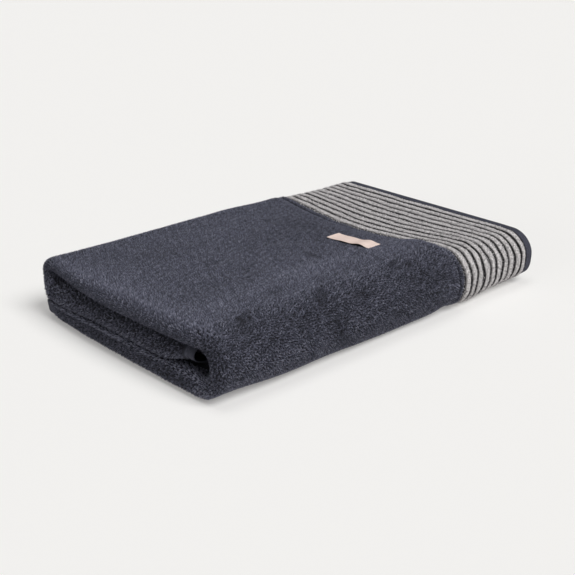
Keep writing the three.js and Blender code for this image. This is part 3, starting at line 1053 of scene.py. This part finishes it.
# Each tuft's root is darker by painted shade and its tip lighter by painted light.
ROOT_PAINTED_SHADE = 0.22
TIP_PAINTED_LIGHT = 1.22
# Pits between the clumps of loops: their smallest and largest size in mm, the values of their
# waves at which a pit begins and is full, and how dark it is, by painted shade.
PIT_SIZES = (2.2, 3.6)
PIT_EDGES = (0.15, 0.5)
PIT_DEPTH = 0.9
PLACE_SHIFT = 0.45
# the nap: how much it leans the tufts, the number of its waves, the shortest and longest in mm
NAP_LEAN = 0.3
NAP_WAVES = (12, 12, 45)


def on_run(distance):
    """The step across the width for a distance on the outer face."""
    return np.interp(distance, run_starts, np.arange(6))


def on_sheet(along, across, height):
    """Points at a height over the outward face of the sheet."""
    x, level, push_x, push_level = section(along)
    return place(x + height * push_x, level + height * push_level, across)


def scattered(along_range, across_range, spacing, draw):
    """Places on the sheet: a grid of the given spacing in mm, with each place moved at random.
    Columns are spaced by their distance on the outer face."""
    along = np.arange(*along_range, spacing)
    distance = np.arange(*outer_distance(np.array(across_range)), spacing)
    grid = np.stack(np.meshgrid(along, distance, indexing="ij"), -1).reshape(-1, 2)
    grid += draw.uniform(-PLACE_SHIFT, PLACE_SHIFT, grid.shape) * spacing
    return grid[:, 0], on_run(grid[:, 1])


def tuft_points(along, across, radius, height, lean_along, lean_across, turn):
    """Three points round each place, sunk into the cloth, and a tip at the given height above it.
    Across the width a millimetre is one over the run's length on the outer face."""
    per_mm = 1 / RUN_LENGTHS[np.clip(np.floor(across), 0, 4).astype(int)]
    corners = []
    for angle in (turn + k * 2 * math.pi / 3 for k in range(3)):
        root_across = across + radius * np.sin(angle) * per_mm
        corners.append(on_sheet(along + radius * np.cos(angle), root_across, -TUFT_ROOT))
    x, level, push_x, push_level = section(along)
    tip_x, tip_level = x + height * push_x, level + height * push_level
    tip_x = tip_x - lean_along * push_level
    corners.append(place(tip_x, tip_level, across + lean_across * per_mm))
    return np.stack(corners, 1).reshape(-1, 3)


def tuft_piece(name, along, across, size, height, lean, shade, material, seed,
               uneven=0.35, pits=0.0, pit_length=1.0):
    """One mesh of tufts. size is the radius of a tuft in mm, height that of its tip over the
    cloth, lean how far the tip may lean, and shade how light each tuft is. Each tuft's shade and
    height vary at random, and both are less in the pits between the clumps, where the lower shade
    is painted shade."""
    draw = np.random.default_rng(seed)
    count = len(along)
    radius = size * draw.uniform(0.8, 1.2, count)
    x = section(along)[0]
    distance = outer_distance(across)
    pit = wave_field(along, distance / pit_length, seed + 300, 40, *PIT_SIZES)
    pit = smooth_step(pit, *PIT_EDGES)
    tall = height * draw.uniform(0.65, 1.2, count) * (1 - 0.5 * pits * pit)
    turn = draw.uniform(0, 2 * math.pi, count)
    naps = (NAP_LEAN * wave_field(x, distance, seed + k, *NAP_WAVES) for k in (100, 200))
    lean_along, lean_across = (lean * (nap + draw.normal(0, 0.6, count)) for nap in naps)
    points = tuft_points(along, across, radius, tall, lean_along, lean_across, turn)
    start = 4 * np.arange(count)[:, None]
    faces = (start[:, :, None] + np.array([[0, 1, 3], [1, 2, 3], [2, 0, 3]])).reshape(-1, 3)
    a, b, c, tip = points.reshape(-1, 4, 3).transpose(1, 0, 2)
    height_side = np.sum(np.cross(b - a, c - a) * (tip - a), axis=1)
    if np.median(height_side) < 0:
        faces = faces[:, ::-1]
    light = shade * draw.uniform(1 - uneven, 1 + uneven, count)
    # the pits are darker by painted shade
    light = light * (1 - pits * pit)
    # painted shade at the roots, painted light at the tips
    root = ROOT_PAINTED_SHADE * light
    point_shade = np.stack([root, root, root, TIP_PAINTED_LIGHT * light], 1).ravel()
    spread = radius.mean() / np.array([sheet_length, np.ptp(run_starts)])
    around = np.array([[1, 0], [-0.5, 0.87], [-0.5, -0.87], [0, 0]]) * 0.4
    uv = (flat_map(along, distance)[:, None, :] + around[None] * spread).reshape(-1, 2)
    piece = mesh_piece(name, points, faces, uv, point_shade, material)
    print(name, count, "tufts,", len(faces), "triangles")
    return piece


# %% Pile on the outer layer
PILE_START = border_end + 0.4
PILE_LEAN = 0.7
LABEL_TURN = math.radians(6.6)
LABEL_LENGTH, LABEL_WIDTH, LABEL_THICKNESS = 55.0, 20.4, 0.9
LABEL_X, LABEL_Y = 42.7, -48.8
LABEL_MARGIN = 0.3
# steps across the width where pile begins and ends: at the selvedges and just inside the folds
PILE_ACROSS = (0.055, 1.03, 3.97, 4.94)
# steps across the width, seed, spacing, size and height in mm, unevenness, depth of pits, and the
# painted light that makes the front and back folds lighter
PILES = {
    "pile_front": ((PILE_ACROSS[1], 2.0), 31, 1.0, 0.7, 0.8, 0.52, PIT_DEPTH, 1.18),
    "pile_top": ((2.0, 3.0), 32, 1.4, 1.0, 0.25, 0.2, 0.6, 1.0),
    "pile_back": ((3.0, PILE_ACROSS[2]), 33, 1.5, 0.9, 0.8, 0.35, PIT_DEPTH, 1.1),
}


def under_label(along, across):
    """True where a tuft would stand under the label."""
    dx, dy = (on_sheet(along, across, 0)[:, :2] - [LABEL_X, LABEL_Y]).T
    side = dx * math.cos(LABEL_TURN) + dy * math.sin(LABEL_TURN)
    length = dy * math.cos(LABEL_TURN) - dx * math.sin(LABEL_TURN)
    beside = np.abs(side) > LABEL_WIDTH / 2 + LABEL_MARGIN
    beyond = np.abs(length) > LABEL_LENGTH / 2 + LABEL_MARGIN
    return ~beside & ~beyond & (np.floor(across) == TOP)


for name, (span, seed, spacing, size, tall, uneven, depth, fold_painted_light) in PILES.items():
    draw = np.random.default_rng(seed)
    along, across = scattered((PILE_START, RUN_ALONG[0]), span, spacing, draw)
    clear = ~under_label(along, across)
    along, across = along[clear], across[clear]
    shade = pile_shade(section(along)[0], outer_distance(across))
    # The front and back folds are lighter by painted light.
    shade = shade * mix(1, fold_painted_light, smooth_step(np.abs(across - 2.5), 0.45, 0.7))
    tuft_piece(
        name, along, across, size, tall, PILE_LEAN, shade, navy_pile, seed, uneven, depth)

# %% Pile on the turns at the two ends
# At the left end the pile is lighter by painted light, and each roll has its own painted light and
# shade: the bottom roll is darker but for a ridge of painted light near its top, the middle roll
# is lighter downwards and darker by painted shade upwards, under the top roll, and the top roll is
# lighter upwards and darker by painted shade towards its underside.
END_SIZE = 0.85
LEFT_SPACING, LEFT_LEAN, LEFT_PAINTED_LIGHT = 1.2, 0.8, 1.18
RIGHT_SPACING, RIGHT_LEAN, RIGHT_TONE = 1.4, 0.5, 0.9
RIGHT_HEIGHT = 0.5
# height in mm, unevenness and depth of pits, on the shoulder of the top roll and elsewhere
LEFT_TUFTS = ((0.28, 0.75), (0.22, 0.4), (0.4, PIT_DEPTH))
ends_draw = np.random.default_rng(34)
turn_along, turn_across = np.concatenate([
    scattered((RUN_ALONG[0], RUN_ALONG[1] + 6), span, LEFT_SPACING, ends_draw)
    for span in zip(PILE_ACROSS, PILE_ACROSS[1:])], axis=1)
turn_run = np.floor(turn_across)
turn_share = section(turn_along)[1] / pile_stack
turn_shade = LEFT_PAINTED_LIGHT * pile_shade(turn_along, outer_distance(turn_across))
turn_shade = turn_shade * np.select(
    [turn_run == BOTTOM, turn_run == MIDDLE, turn_run == TOP],
    [0.72 + 0.9 * ridge_at(turn_share, 0.08, 0.13), 0.85 + 0.35 * smooth_step(turn_share, 0.5, 1),
     0.8 + 0.2 * smooth_step(turn_share, 0.4, 0.85)], 1.0)
top_shoulder = (turn_run == TOP) & (turn_share > 0.2)
turn_height, turn_uneven, turn_pits = (
    np.where(top_shoulder, on_shoulder, elsewhere) for on_shoulder, elsewhere in LEFT_TUFTS)
tuft_piece(
    "pile_left_end", turn_along, turn_across, END_SIZE, turn_height, LEFT_LEAN, turn_shade,
    navy_pile, 35, turn_uneven, turn_pits, pit_length=1.8)
right_along, right_across = scattered(
    (RUN_ALONG[2] - 8, RUN_ALONG[3] + 6), PILE_ACROSS[::3], RIGHT_SPACING,
    np.random.default_rng(36))
tuft_piece(
    "pile_right_end", right_along, right_across, END_SIZE, RIGHT_HEIGHT, RIGHT_LEAN,
    RIGHT_TONE + 0 * right_along, navy_pile, 37)

# %% [markdown]
# ## The cords of the border
#
# The border is eleven plump cords of light grey melange yarn with dark grooves between them. The
# round body of a cord is in the cloth already. Here it gets its loops: small tufts like those of
# the pile, in slanting rows across the cord, a little uneven, and every other row is lighter. The
# flanks of each cord are darker by painted shade, and on top of the bundle the cords are lighter
# by painted light.

# %% Loops on the cords
LOOP_SPACING = 1.8
LOOPS_ROUND = 6
LOOP_SHIFT = 0.4
LOOP_TURN = 0.16
LOOP_SIZE, LOOP_HEIGHT, LOOP_LEAN = 1.05, 0.75, 0.7
KNOT_SLANT = 1.1
# shades: in front and on top of the bundle, with painted light on top, of every other knot, how
# uneven, how dark the flanks are by painted shade
FRONT_CORD_PAINTED_LIGHT, TOP_CORD_PAINTED_LIGHT = 1.06, 1.62
KNOT_SHADES = (1.18, 0.8)
UNEVEN_MELANGE = 0.3
FLANK_PAINTED_SHADE = 0.6
cord_draw = np.random.default_rng(41)
loop_distance = np.arange(run_starts[FRONT] + 3, run_starts[BACK + 1] - 3, LOOP_SPACING)
loop_angle = np.radians(np.linspace(-58, 58, LOOPS_ROUND))
cord_centres = END_HEM_WIDTH + (np.arange(RIB_COUNT) + 0.5) * RIB_PITCH
cord_grid, distance_on_cord, angle_on_cord = (
    v.ravel() for v in np.meshgrid(cord_centres, loop_distance, loop_angle, indexing="ij"))
knot = np.round((distance_on_cord - loop_distance[0]) / LOOP_SPACING) % 2
distance_on_cord = distance_on_cord + KNOT_SLANT * angle_on_cord
distance_on_cord = distance_on_cord + cord_draw.uniform(-LOOP_SHIFT, LOOP_SHIFT, len(cord_grid))
angle_on_cord = angle_on_cord + cord_draw.uniform(-LOOP_TURN, LOOP_TURN, len(cord_grid))
loop_along = cord_grid + RIB_WIDTH / 2 * np.sin(angle_on_cord)
# On top of the bundle the cords are lighter by painted light.
melange_and_painted_shading = mix(FRONT_CORD_PAINTED_LIGHT, TOP_CORD_PAINTED_LIGHT, smooth_step(distance_on_cord, -30, 10))
melange_and_painted_shading = melange_and_painted_shading * mix(*KNOT_SHADES, knot)
melange_and_painted_shading = melange_and_painted_shading + UNEVEN_MELANGE * wave_field(loop_along * 3, distance_on_cord, 43, 30, 3.5, 7)
# The flanks of each cord are darker by painted shade.
melange_and_painted_shading = melange_and_painted_shading * (1.06 - FLANK_PAINTED_SHADE * (angle_on_cord / loop_angle.max()) ** 2)
cord_loops = tuft_piece(
    "cord_loops", loop_along, on_run(distance_on_cord), LOOP_SIZE, LOOP_HEIGHT, LOOP_LEAN, melange_and_painted_shading,
    grey_cord, 42, uneven=0.42, pits=0.6)

# %% [markdown]
# ## The label
#
# A small rose-beige label is sewn on top beside the border by its two short ends. Between them it
# is a little too long, so it stands up in a low hump near one end. It is a sheet of its own, made
# as a closed grid like the cloth.

# %% Label shape
# Heights in mm. The label sinks into the ground of the pile by SEAT_DEPTH, and between its two
# seamed ends it is thinner by SEAM_DEPTH. The hump's place and reach are shares of its length.
LABEL_CELLS_LONG, LABEL_CELLS_WIDE = 84, 30
SEAT_DEPTH = 0.2
SEAM_DEPTH = 0.25
NEAR_EDGE_LIFT = 0.5
ARCH, ARCH_TURNS, ARCH_START = 0.4, 1.2, 0.6
HUMP = 1.9
HUMP_PLACE = (-0.28, 0.15)
SEAM_LENGTHS = (3.4, 2.9)
SEAM_SHADE, UNDER_SHADE, EDGE_SHADE = 0.12, 0.9, 0.92


def top_height(x, y):
    """Height of the top of the bundle, from the CAD formula without the marks."""
    return settled(x, y, 3 * stack_thickness(x) + 2 * GAP)


def label_face(side, length, lift):
    """Points of one face. side runs across the label and length along it, in mm from its middle.
    The face follows the top of the bundle. Over that its near edge rises by half a wave along its
    length, the whole of it by a low squared wave, and the hump by a soft ridge."""
    x = LABEL_X + side * math.cos(LABEL_TURN) - length * math.sin(LABEL_TURN)
    y = LABEL_Y + side * math.sin(LABEL_TURN) + length * math.cos(LABEL_TURN)
    nearness = 0.5 - side / LABEL_WIDTH
    place_along = length / LABEL_LENGTH
    rise = NEAR_EDGE_LIFT * np.cos(place_along * math.pi) * nearness
    rise = rise + ARCH * np.sin(place_along * 2 * ARCH_TURNS * math.pi + ARCH_START) ** 2
    rise = rise + HUMP * ridge_at(place_along, *HUMP_PLACE)
    return np.stack([x, y, top_height(x, y) - SEAT_DEPTH + rise + lift], -1)


label_side = np.linspace(-LABEL_WIDTH / 2, LABEL_WIDTH / 2, LABEL_CELLS_WIDE + 1)
label_long = np.linspace(-LABEL_LENGTH / 2, LABEL_LENGTH / 2, LABEL_CELLS_LONG + 1)
side_grid, long_grid = np.meshgrid(label_side, label_long, indexing="ij")
end_strip = smooth_step(
    np.abs(long_grid), *(LABEL_LENGTH / 2 - seam_length for seam_length in SEAM_LENGTHS))
label_top = label_face(side_grid, long_grid, LABEL_THICKNESS - SEAM_DEPTH * (1 - end_strip))
label_under = label_face(side_grid, long_grid, 0.0)
label_points, label_quads = closed_sheet(label_top, label_under)
label_quads = outward_quads(label_points, label_quads)
label_uv = both_faces(
    np.stack([side_grid / LABEL_WIDTH, long_grid / LABEL_LENGTH], -1) + 0.5, 0)
label_shade = np.concatenate([
    1 + SEAM_SHADE * end_strip.ravel(), np.full(end_strip.size, UNDER_SHADE),
    np.full(len(rim_indices(*side_grid.shape)), EDGE_SHADE)])

# %% Label material
label_cloth, nodes, links, label_shader = new_material("rose_label", 0.75, 0.3)
on_label = object_place(nodes)
grain = noise_node(nodes, links, on_label, 1500, 3)
blotch = noise_node(nodes, links, on_label, 220, 2)
label_value = weighted_sum(
    nodes, links, (grain, 0.35), (blotch, 0.3), (shade_value(nodes), 0.4))
label_colour = ramp_node(nodes, links, label_value, [
    (0.35, (0.62, 0.49, 0.43)), (0.75, (0.88, 0.71, 0.64)), (1.0, (0.96, 0.82, 0.76))])
links.new(label_colour, label_shader.inputs["Base Color"])
links.new(bump_node(nodes, links, grain, 0.5, WEAVE_RELIEF), label_shader.inputs["Normal"])

label_sheet = mesh_piece(
    "label_sheet", label_points, label_quads, label_uv, label_shade, label_cloth)
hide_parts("label")
print("label_sheet", 2 * len(label_quads), "triangles")

# %% [markdown]
# ## Stitching
#
# The hems are sewn down with navy thread, and the label with rose thread along its two short ends.
# Each stitch is one small spindle that dips into the cloth at both ends, as a lockstitch does. A
# stitch texture would stay flat at the hem's edge, and spindles cost little.

# %% Stitches
STITCH_LENGTH, STITCH_PITCH = 3.1, 4.0
THREAD_RADIUS = 0.34
END_HEM_INSET, SELVEDGE_INSET, SELVEDGE_DEPTH = 1.6, 8.0, 1.0
LABEL_STITCH_LENGTH, LABEL_STITCH_PITCH = 1.7, 2.5
LABEL_THREAD_RADIUS = 0.22
LABEL_STITCH_INSET = 2.2
STITCH_SIDES = 6
# the spindle's five places by its length, and its heights by its radius
SPINDLE_PLACES = np.array([0, 0.2, 0.5, 0.8, 1])
SPINDLE_HEIGHTS = np.array([-1.0, 0.5, 0.8, 0.5, -1.0])
SPINDLE_FLATNESS = 0.8


def stitch_piece(name, locate, first, second, radius, material):
    """One mesh of stitches. first and second hold one row of five places for each stitch, from its
    start to its end, and locate turns them and a height over the cloth into points."""
    height = radius * SPINDLE_HEIGHTS + 0 * first
    centre = locate(first, second, height)
    up = locate(first, second, height + 1) - centre
    up /= np.linalg.norm(up, axis=-1, keepdims=True)
    forward = centre[:, -1:] - centre[:, :1]
    forward /= np.linalg.norm(forward, axis=-1, keepdims=True)
    side = np.cross(up, np.broadcast_to(forward, up.shape))
    angle = np.linspace(0, 2 * math.pi, STITCH_SIDES, endpoint=False)[:, None]
    rings = (centre[:, 1:4, None] + radius * np.cos(angle) * side[:, 1:4, None]
             + SPINDLE_FLATNESS * radius * np.sin(angle) * up[:, 1:4, None])
    count = len(first)
    points = np.concatenate([centre[:, :1], rings.reshape(count, -1, 3), centre[:, 4:]], axis=1)
    here = np.arange(STITCH_SIDES)
    following = (here + 1) % STITCH_SIDES
    last = 3 * STITCH_SIDES + 1
    faces = [np.stack([0 * here, 1 + following, 1 + here], 1)]
    for ring in range(2):
        low, high = 1 + ring * STITCH_SIDES, 1 + (ring + 1) * STITCH_SIDES
        faces.append(np.stack([low + here, low + following, high + following], 1))
        faces.append(np.stack([low + here, high + following, high + here], 1))
    top_ring = 1 + 2 * STITCH_SIDES
    faces.append(np.stack([top_ring + here, top_ring + following, last + 0 * here], 1))
    faces = np.concatenate(faces)[None] + (last + 1) * np.arange(count)[:, None, None]
    a, b, c = (points.reshape(-1, 3)[faces[0, :, k]] for k in range(3))
    if np.sum(np.cross(b - a, c - a) * (a - centre[0].mean(axis=0))) < 0:
        faces = faces[..., ::-1]
    nodes = np.concatenate([[0], np.repeat([0.25, 0.5, 0.75], STITCH_SIDES), [1]])
    around = np.concatenate([[0], np.tile(here / STITCH_SIDES, 3), [0]])
    which = np.repeat(np.arange(count), last + 1)
    uv = np.stack([np.tile(around, count), (which + 0.8 * np.tile(nodes, count)) / count], 1)
    print(name, count, "stitches,", faces.size // 3, "triangles")
    return mesh_piece(
        name, points.reshape(-1, 3), faces.reshape(-1, 3), uv, np.ones(len(uv)), material)


def stitch_nodes(start, end, length, pitch):
    """One row of five distances for each stitch between start and end."""
    starts = np.arange(start, end - length, pitch)
    return starts[:, None] + length * SPINDLE_PLACES


navy_thread = pile_material(
    "navy_thread", (0.03, 0.03, 0.042), (0.10, 0.103, 0.14), (0.19, 0.195, 0.25),
    roughness=0.7, sheen=0.0, grain=0.8)
rose_thread = pile_material(
    "rose_thread", (0.35, 0.27, 0.24), (0.86, 0.70, 0.63), (0.95, 0.85, 0.80),
    roughness=0.7, sheen=0.0, grain=0.6)
hem_distance = stitch_nodes(run_starts[0] + 4, run_starts[5] - 4, STITCH_LENGTH, STITCH_PITCH)
hem_stitches = stitch_piece(
    "hem_stitches", on_sheet, 0 * hem_distance + END_HEM_WIDTH - END_HEM_INSET,
    on_run(hem_distance), THREAD_RADIUS, navy_thread)
edge_along = stitch_nodes(4, RUN_ALONG[1] + 30, STITCH_LENGTH, STITCH_PITCH)
edge_across = np.concatenate([
    0 * edge_along + SELVEDGE_INSET / RUN_LENGTHS[BOTTOM],
    0 * edge_along + 5 - SELVEDGE_INSET / RUN_LENGTHS[MIDDLE]])
selvedge_stitches = stitch_piece(
    "selvedge_stitches",
    lambda along, across, height: on_sheet(along, across, height - SELVEDGE_DEPTH),
    np.tile(edge_along, (2, 1)), edge_across, THREAD_RADIUS, navy_thread)
label_rows = stitch_nodes(
    -LABEL_WIDTH / 2 + 1.2, LABEL_WIDTH / 2 - 0.6, LABEL_STITCH_LENGTH, LABEL_STITCH_PITCH)
label_ends = np.repeat([-1, 1], len(label_rows))[:, None]
label_rows = np.tile(label_rows, (2, 1))
label_stitches = stitch_piece(
    "label_stitches",
    lambda side, length, height: label_face(side, length, LABEL_THICKNESS + height),
    label_rows, 0 * label_rows + label_ends * (LABEL_LENGTH / 2 - LABEL_STITCH_INSET),
    LABEL_THREAD_RADIUS, rose_thread)
